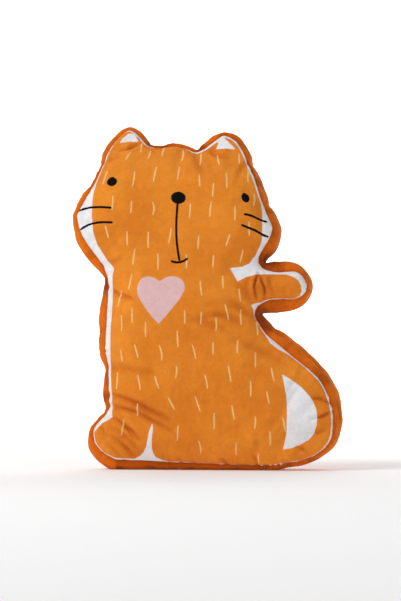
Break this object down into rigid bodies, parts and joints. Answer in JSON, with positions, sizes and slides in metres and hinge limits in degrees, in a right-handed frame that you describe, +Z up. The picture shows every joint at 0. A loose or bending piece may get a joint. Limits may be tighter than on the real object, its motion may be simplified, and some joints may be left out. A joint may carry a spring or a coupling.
{
  "type": "plush cat cushion",
  "caption": "Sitting cat cushion with a raised paw, printed velour front, plain back, side strip, flat base and embroidered face.",
  "frame": {"origin": "on the floor under the middle of the whole cat", "axes": "+Z up, +X across the cat to the side of its raised paw, -Y out of its face"},
  "size_m": [0.3119, 0.0859, 0.4],
  "materials": {
    "printed_velour": "short-pile velour, printed orange with pale ticks, white borders and a pink heart",
    "plain_velour": "short-pile velour, dyed plain deep orange",
    "polyester_fibre": "loose polyester fibre filling",
    "orange_thread": "polyester sewing thread",
    "black_thread": "satin-stitch embroidery thread"
  },
  "bodies": {
    "torso": {"torso_front_cloth": "printed_velour", "torso_back_cloth": "plain_velour", "torso_side_strip": "plain_velour", "base_strip": "plain_velour", "torso_filling": "polyester_fibre", "torso_seam_thread": "orange_thread", "closing_stitches": "orange_thread"},
    "head": {"head_front_cloth": "printed_velour", "head_back_cloth": "plain_velour", "head_side_strip": "plain_velour", "head_filling": "polyester_fibre", "head_seam_thread": "orange_thread", "left_eye": "black_thread", "right_eye": "black_thread", "nose": "black_thread", "muzzle_line": "black_thread", "mouth": "black_thread", "upper_left_whisker": "black_thread", "lower_left_whisker": "black_thread", "upper_right_whisker": "black_thread", "lower_right_whisker": "black_thread"},
    "paw": {"paw_front_cloth": "printed_velour", "paw_back_cloth": "plain_velour", "paw_side_strip": "plain_velour", "paw_filling": "polyester_fibre", "paw_seam_thread": "orange_thread"},
    "left_ear": {"left_ear_front_cloth": "printed_velour", "left_ear_back_cloth": "plain_velour", "left_ear_side_strip": "plain_velour", "left_ear_filling": "polyester_fibre", "left_ear_seam_thread": "orange_thread"},
    "right_ear": {"right_ear_front_cloth": "printed_velour", "right_ear_back_cloth": "plain_velour", "right_ear_side_strip": "plain_velour", "right_ear_filling": "polyester_fibre", "right_ear_seam_thread": "orange_thread"}
  },
  "joints": [
    {"name": "neck_nod", "type": "hinge", "parent": "torso", "child": "head", "pos_m": [-0.0269, 0, 0.232], "axis": [1, 0, 0], "range_deg": [-12, 12], "stiffness_Nm_per_rad": 0.8},
    {"name": "paw_fold", "type": "hinge", "parent": "torso", "child": "paw", "pos_m": [0.0606, 0, 0.2121], "axis": [0.1536, 0, 0.9881], "range_deg": [-15, 15], "stiffness_Nm_per_rad": 0.05},
    {"name": "left_ear_fold", "type": "hinge", "parent": "head", "child": "left_ear", "pos_m": [-0.0899, 0, 0.3723], "axis": [0.9952, 0, 0.0978], "range_deg": [-15, 15], "stiffness_Nm_per_rad": 0.02},
    {"name": "right_ear_fold", "type": "hinge", "parent": "head", "child": "right_ear", "pos_m": [0.0181, 0, 0.3672], "axis": [0.9987, 0, -0.0502], "range_deg": [-15, 15], "stiffness_Nm_per_rad": 0.02}
  ]
}
